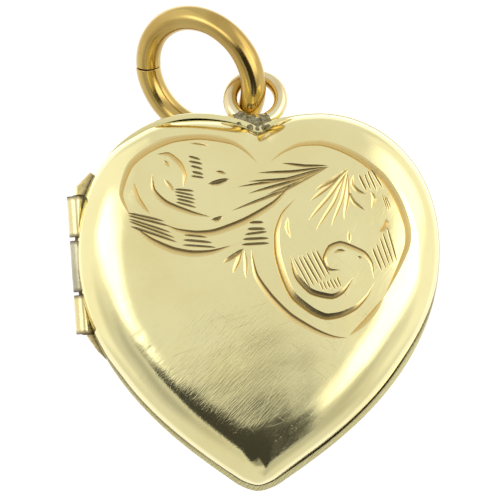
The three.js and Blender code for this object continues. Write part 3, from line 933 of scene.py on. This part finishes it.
def gold_material(name, light, deep, rough, scratch, marks, dirt):
    """Worn gold. With marks it reads the mesh's masks for the engraving's painted shade and for the
    painted shade in the gaps.
    """
    mat, n, bsdf, place = new_material(name)
    # slow colour drift of the alloy and fine tarnish
    tone = n.ramp(n.noise(place, 0.25, 4.0, 0.55), [(0.32, deep), (0.60, light)])
    speck = n.noise(place, 7.0, 4.0, 0.65)
    tarnish = n.math("MULTIPLY", n.ramp(speck, [(0.60, 0.0), (0.74, 1.0)]), 0.12 + dirt)
    tone = n.mix(tarnish, tone, shaded(deep, 0.62, 0.55, 0.42))
    # scratches in several directions, and the polishing lines under them
    lines = scratches(n, place, *SCRATCHES[0])
    for row in SCRATCHES[1:]:
        lines = n.math("MAXIMUM", lines, scratches(n, place, *row))
    brushed = scratches(n, place, 0.75, 16.0, 1.3, 0.42, 0.72)
    wear = n.noise(place, 0.55, 5.0, 0.62)
    r = n.math("MULTIPLY_ADD", wear, 0.10, rough - 0.05)
    r = n.math("ADD", r, n.math("MULTIPLY", lines, 0.08 * scratch))
    r = n.math("ADD", r, n.math("MULTIPLY", brushed, 0.03 * scratch))
    metal = 1.0
    if marks:
        groove, shade, gap_shade = (n.add("ShaderNodeAttribute", _attribute_name=a).outputs["Fac"]
                                for a in ("groove", "shade", "dirt"))
        # painted shade in the cuts: their facets tinted a darker, deeper gold, and a near-black line
        # along each cut's bottom
        cut = n.ramp(groove, [(0.0, 0.0), (0.08, 0.45), (0.6, 1.0)])
        tone = n.mix(cut, tone, shaded(deep, 0.80, 0.66, 0.50))
        cut_shade = n.ramp(shade, [(0.42, 0.0), (0.72, 0.95)])
        tone = n.mix(cut_shade, tone, solid(CUT_SHADE_COLOUR))
        # painted shade in the seam, the notch and the hinge's gaps, broken up by the fine noise
        g = n.math("MULTIPLY", gap_shade, n.ramp(speck, [(0.25, 0.55), (0.55, 1.0)]))
        tone = n.mix(g, tone, solid(GAP_SHADE_COLOUR))
        r = n.math("ADD", r, n.math("MULTIPLY", cut, 0.20))
        r = n.math("ADD", r, n.math("MULTIPLY", n.math("MAXIMUM", g, cut_shade), 0.30))
        dull = n.math("MAXIMUM", n.math("MULTIPLY", g, 0.9), n.math("MULTIPLY", cut_shade, 0.6))
        metal = n.math("SUBTRACT", 1.0, dull, clamp=True)
    n.put(bsdf, "Metallic", metal)
    n.put(bsdf, "Base Color", tone)
    n.put(bsdf, "Roughness", r)
    # the polishing lines stand out more towards the tip
    up = n.add("ShaderNodeSeparateXYZ", Vector=place).outputs["Z"]
    strong = n.spread(up, -11.0, -18.0, 0.38, 0.75)
    high = n.math("ADD", n.math("MULTIPLY", lines, -0.42), n.math("MULTIPLY", brushed, strong))
    high = n.math("ADD", high, n.math("MULTIPLY", wear, 0.7))
    n.put(bsdf, "Normal", n.bump(0.30 * scratch, 0.000006, high))
    return mat


def solder_material():
    """Grey, grainy solder with a few brassy flecks."""
    mat, n, bsdf, place = new_material("solder", Metallic=0.75)
    grain = n.noise(place, 4.2, 7.0, 0.75)
    pits = n.add("ShaderNodeTexVoronoi", Vector=place, Scale=8.0).outputs["Distance"]
    tone = n.ramp(grain, [(0.34, (0.05, 0.042, 0.022)), (0.47, (0.19, 0.165, 0.09)),
                          (0.60, (0.34, 0.31, 0.19)), (0.72, (0.66, 0.52, 0.27))])
    n.put(bsdf, "Base Color", tone)
    n.put(bsdf, "Roughness", n.math("MULTIPLY_ADD", grain, 0.30, 0.30))
    high = n.math("ADD", grain, n.math("MULTIPLY", pits, 0.5))
    n.put(bsdf, "Normal", n.bump(0.8, 0.00005, high))
    return mat


def window_material():
    """Clear film, a little yellowed, with fine scratches."""
    mat, n, bsdf, place = new_material("window_film", IOR=1.5, Alpha=0.22)
    haze = n.noise(place, 0.5, 3.0)
    tone = n.ramp(haze, [(0.3, (0.86, 0.84, 0.74)), (0.7, (0.95, 0.95, 0.90))])
    n.put(bsdf, "Base Color", tone)
    lines = scratches(n, place, 0.5, 14.0, 0.5, 0.64, 0.70)
    n.put(bsdf, "Roughness", n.math("MULTIPLY_ADD", lines, 0.25, 0.05))
    n.put(bsdf, "Normal", n.bump(0.3, 0.00002, haze))
    return mat


def card_material():
    """Blank paper card, yellowed unevenly."""
    mat, n, bsdf, place = new_material("photo_card", Roughness=0.85)
    fibre = n.noise(place, 9.0, 8.0, 0.75)
    tone = n.ramp(n.noise(place, 0.28, 4.0), [(0.30, (0.62, 0.52, 0.36)), (0.65, (0.80, 0.74, 0.60))])
    tone = n.mix(n.math("MULTIPLY", fibre, 0.25), tone, (0.55, 0.47, 0.34, 1))
    n.put(bsdf, "Base Color", tone)
    n.put(bsdf, "Normal", n.bump(0.5, 0.00002, fibre))
    return mat


PALE = ((0.86, 0.785, 0.415), (0.83, 0.735, 0.36))
# light tone, deep tone, roughness, strength of the scratches, reads the masks, tarnish
GOLDS = {
    "front": (*PALE, 0.10, 1.0, True, 0.0),
    "back": (*PALE, 0.12, 1.0, True, 0.0),
    "inner": ((0.86, 0.74, 0.40), (0.80, 0.64, 0.30), 0.24, 0.6, False, 0.0),
    "hinge": ((0.84, 0.75, 0.42), (0.72, 0.60, 0.28), 0.22, 0.8, True, 0.20),
    "wing": ((0.80, 0.67, 0.30), (0.66, 0.50, 0.20), 0.22, 0.8, True, 0.25),
    "knuckle": ((0.64, 0.60, 0.42), (0.40, 0.37, 0.25), 0.34, 1.4, True, 0.5),
    # the pin's dark brown is painted shade, for where it shows in the gaps between the knuckles
    "pin": ((0.20, 0.14, 0.06), (0.10, 0.07, 0.03), 0.45, 0.6, False, 0.4),
    "loop": ((0.84, 0.75, 0.47), (0.66, 0.50, 0.26), 0.20, 0.8, False, 0.15),
    # the ring's gold is a deeper alloy, and also darker: painted shade for the darker surroundings its
    # round wire reflects
    "ring": ((0.56, 0.40, 0.125), (0.44, 0.285, 0.075), 0.15, 0.7, False, 0.2),
}
MATS = {key: gold_material("gold_" + key, *row) for key, row in GOLDS.items()}
MATS["solder"] = solder_material()
MATS["window"] = window_material()
MATS["card"] = card_material()


def piece(o, mat, body, node):
    o.data.materials.clear()
    o.data.materials.append(MATS[mat])
    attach(o, body)
    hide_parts(node)


# ---- build
BACK, FRONT, RING = "back_half", "front_half", "ring"

piece(shell_object("front_shell", "front", 320, make_strokes()), "front", FRONT, "front_cover")
piece(shell_object("back_shell", "back", 240), "back", BACK, "back_cover")

front_band = chamfered([
    (0.34, BAND_GAP), (BAND_FRONT_WALL, BAND_GAP), (BAND_FRONT_WALL, SOCKET_STEP),
    (WALL, SOCKET_STEP), (WALL, LEDGE_TOP), (LEDGE, LEDGE_TOP), (LEDGE, LEDGE_BOTTOM),
    (1.08, LEDGE_BOTTOM), (0.62, 1.0), (0.40, 0.5)], 0.03)
back_band = chamfered([
    (0.20, BAND_GAP), (LIP_OUTER, BAND_GAP), (LIP_OUTER, -LIP_HEIGHT), (WALL, -LIP_HEIGHT),
    (WALL, LEDGE_TOP), (LEDGE, LEDGE_TOP), (LEDGE, LEDGE_BOTTOM), (1.0, LEDGE_BOTTOM),
    (0.52, 1.0), (0.24, 0.5)], 0.03)
piece(band_object("front_band", "front", front_band), "inner", FRONT, "front_rim_band")
piece(band_object("back_band", "back", back_band), "inner", BACK, "back_rim_band")


def frame_profile():
    """Half-round bead on a flat foot."""
    lo, hi = WALL + 0.02, FRAME_INNER
    top, bottom = WINDOW_TOP - FRAME_THICK, WINDOW_TOP
    out = [(lo, bottom), (hi, bottom)]
    for a in np.linspace(0.12, math.pi - 0.12, 9):
        d = (lo + hi) / 2 + math.cos(a) * (hi - lo) / 2
        y = bottom - 0.12 - math.sin(a) * (bottom - 0.12 - top)
        out.append((d, y))
    return out


for half, body in (("front", FRONT), ("back", BACK)):
    piece(band_object(half + "_bead_frame", half, frame_profile()), "inner", body,
          half + "_photo_frame")
    piece(plate_object(half + "_film", half, WALL + 0.02, WINDOW_TOP + 0.015,
                       LEDGE_TOP - CARD_THICK - 0.01), "window", body,
          half + "_photo_window")
    piece(plate_object(half + "_card", half, WALL + 0.03, LEDGE_TOP - CARD_THICK + 0.02, LEDGE_TOP,
                       wobble=0.012), "card", body, half + "_photo_card")

# ---- hinge
KNUCKLES = [("top", TOP, BACK, "hinge", 0.0), ("middle", MID, FRONT, "knuckle", 0.02),
            ("bottom", BOT, BACK, "hinge", 0.0)]
for name, span, body, mat, loose in KNUCKLES:
    piece(tube_object("knuckle_" + name, KNUCKLE_R, PIN_R + loose, span), mat, body,
          "hinge_knuckle_" + name)
ends = (BOT[0] - 0.06, TOP[1] + 0.06)
pin_rows = [(0.06, ends[0]), (0.15, ends[0] + 0.015), (PIN_R, ends[0] + 0.06),
            (PIN_R, ends[1] - 0.06), (0.15, ends[1] - 0.015), (0.06, ends[1])]
piece(rod_object("pin", pin_rows), "pin", BACK, "hinge_pin")
piece(dirty_near_cover(from_cad("bearer", "hinge_bearer", 0.045, 0.006, 11, 2), 0.26), "wing", BACK,
      "hinge_bearer")
low_c, high_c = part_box("hinge_solder")
seam_drops = []
for k in np.arange(17) / 16:
    z = (low_c[2] * (1 - k) + high_c[2] * k) / MM
    x = HINGE_POINT[0] + (HINGE_POINT[2] - z) * math.tan(HINGE_LEAN) + 0.13
    seam_drops.append((x + rng.normal(0, 0.03), -1.48 + rng.normal(0, 0.02), z,
                       rng.uniform(0.17, 0.27)))
piece(lumps("solder_hinge", seam_drops, 0.03, 0.016, 3, 2), "solder", FRONT, "hinge_solder")

# ---- bail loop and jump ring
loop_axis = np.array([0, math.cos(LOOP_LEAN), -math.sin(LOOP_LEAN)])
loop_axes = frame_of(loop_axis, (1, 0, 0))


def loop_shape(t, a):
    """Slightly uneven wire with a nick where its ends meet."""
    nick = math.exp(-(((t - LOOP_JOINT + math.pi) % (2 * math.pi) - math.pi) / 0.035) ** 2)
    return 1.0 - 0.10 * nick - 0.012 * (1 + np.sin(2 * a + 3 * t)) * 0.5


def ring_shape(t, a):
    """Slightly uneven wire."""
    wave = 0.006 * math.sin(5 * t + 1.0) + 0.005 * math.sin(11 * t)
    return 0.992 + wave * 0.8 - 0.010 * (1 + np.sin(2 * a + 2 * t)) * 0.5


piece(wire_ring("loop", LOOP_R, LOOP_WIRE, (0, 0, 0), loop_axes, 160, 36, loop_shape),
      "loop", BACK, "bail_loop")
bail_drops = [(-0.95, -0.90, -1.50, 0.26), (0.72, -0.86, -1.52, 0.22), (-1.30, -0.88, -1.42, 0.15),
              (1.08, -0.80, -1.42, 0.13), (0.12, -0.80, -1.68, 0.26), (-0.30, -0.86, -1.60, 0.26),
              (0.45, -0.84, -1.58, 0.24), (-1.62, -0.86, -1.34, 0.09), (1.36, -0.76, -1.33, 0.07)]
for turn in range(-46, 30, 6):
    t = math.radians(turn)
    foot = LOOP_R * math.cos(t)
    bail_drops.append((LOOP_R * math.sin(t), -foot * math.sin(LOOP_LEAN) - 0.03,
                       -foot * math.cos(LOOP_LEAN) - 0.02, 0.43 + rng.uniform(-0.02, 0.03)))
piece(lumps("solder_bail", bail_drops, 0.035, 0.022, 5), "solder", BACK, "bail_solder")
ring_axes = frame_of(RING_NORMAL, RING_SEAM_DIR)
piece(wire_ring("jump_ring_wire", RING_R, RING_WIRE, RING_CENTRE, ring_axes, 220, 48, ring_shape,
                gap=0.05), "ring", RING, "jump_ring")

# ---- camera, floor, light
CAMERA_AWAY = 230.2  # mm in front of the seam, far enough for a nearly flat view
CAMERA_X, CAMERA_Z = -0.293, -8.36

scene = bpy.context.scene
cam_data = bpy.data.cameras.new("camera")
cam = linked("camera", cam_data)
scene.camera = cam
cam_data.lens = 300
cam_data.sensor_width = 36
cam_data.clip_start, cam_data.clip_end = 0.005, 20
cam.location = (CAMERA_X * MM, (SEAM_Y - CAMERA_AWAY) * MM, CAMERA_Z * MM)
cam.rotation_euler = (math.pi / 2, 0, 0)

FLOOR_R, FLOOR_Z = 0.16, -0.040  # metres
floor_mesh = bpy.data.meshes.new("floor")
floor_mesh.from_pydata([(FLOOR_R * math.cos(i * math.pi / 32), FLOOR_R * math.sin(i * math.pi / 32),
                         FLOOR_Z) for i in range(64)], [], [tuple(range(64))])
floor = linked("floor", floor_mesh)
floor_mat, floor_nodes, floor_bsdf, floor_place = new_material("floor", Roughness=0.9)
mottle = floor_nodes.noise(floor_place, 0.060, 3.0)
floor_nodes.put(floor_bsdf, "Base Color",
                floor_nodes.ramp(mottle, [(0.3, (0.90, 0.90, 0.89)), (0.7, (0.93, 0.93, 0.92))]))
floor_mesh.materials.append(floor_mat)
floor.visible_glossy = False

world = bpy.data.worlds.new("studio")
scene.world = world
world.use_nodes = True
w = Nodes(world.node_tree)
direction = w.add("ShaderNodeTexCoord").outputs["Generated"]


def clock(angle, turn):
    """Direction that lies angle degrees off the viewer's side, turned from +X towards +Z."""
    a, t = math.radians(angle), math.radians(turn)
    return Vector((math.sin(a) * math.cos(t), -math.cos(a), math.sin(a) * math.sin(t)))


def along_axis(axis):
    """How far the looked-at direction goes along the axis."""
    return w.add("ShaderNodeVectorMath", _operation="DOT_PRODUCT", i0=direction,
                 i1=tuple(axis)).outputs["Value"]


def panel(centre, up, half_wide, half_high, soft_wide, soft_high):
    """1 over a soft-edged rectangle of directions, all sizes in degrees."""
    c = centre.normalized()
    side = c.cross(up).normalized()
    top = side.cross(c)
    front = along_axis(c)
    out = w.math("GREATER_THAN", front, 0.05)
    for axis, half, soft in ((side, half_wide, soft_wide), (top, half_high, soft_high)):
        off = w.math("ABSOLUTE", w.math("DIVIDE", along_axis(axis), front))
        edge = math.tan(math.radians(half))
        fade = edge + math.tan(math.radians(soft))
        out = w.math("MULTIPLY", out, w.spread(off, edge, fade, 1.0, 0.0, "SMOOTHSTEP"))
    return out


value = 0.87  # the studio's even light
# (lower end, upper end, half width, half height, soft edges, brightness)
PANELS = [
    (clock(30, 335), clock(50, 5), 8, 18, 20, 10, 1.50),      # soft box on the right
    (clock(55, 25), clock(75, 30), 10, 10, 20, 20, 0.80),     # and its upper part
    (clock(35, 178), clock(45, 172), 4, 14, 12, 20, 1.50),    # soft box on the left
    (clock(25, 340), clock(60, 230), 17, 20, 5, 5, -0.85),    # the dark room in front, low down
    (clock(10, 280), clock(80, 285), 17, 17, 5, 5, -0.50),
    (clock(65, 355), clock(75, 240), 14, 7, 5, 5, -1.20),
    (clock(60, 185), clock(75, 235), 8, 10, 20, 18, -0.35),   # its dim edges
    (clock(65, 300), clock(90, 315), 24, 5, 20, 20, -0.25),
    (clock(90, 0), clock(80, 20), 35, 40, 25, 25, 0.25),      # pale walls on both sides
    (clock(90, 180), clock(80, 160), 35, 40, 25, 25, 0.25),
    (clock(179, 270), clock(179, 90), 50, 40, 25, 30, 0.30),  # backdrop behind the locket
    (clock(155, 90), clock(145, 90), 35, 16, 20, 20, 0.45),   # and a lamp on it
]
for low, high, half_wide, half_high, soft_wide, soft_high, gain in PANELS:
    glow = panel((low + high) / 2, high - low, half_wide, half_high, soft_wide, soft_high)
    value = w.math("ADD", value, w.math("MULTIPLY", glow, gain))
value = w.math("MAXIMUM", value, 0.06)
tint = w.add("ShaderNodeCombineColor")
for c in ("Red", "Green", "Blue"):
    w.put(tint, c, value)
lit = w.add("ShaderNodeBackground", Color=tint.outputs[0], Strength=1.0)
plain = w.add("ShaderNodeBackground", Color=(1, 1, 1, 1), Strength=1.05)
seen = w.add("ShaderNodeLightPath").outputs["Is Camera Ray"]
both = w.add("ShaderNodeMixShader", Fac=seen, i1=lit.outputs[0], i2=plain.outputs[0])
w.add("ShaderNodeOutputWorld", Surface=both.outputs[0])

scene.view_settings.view_transform = "Standard"
scene.view_settings.look = "None"
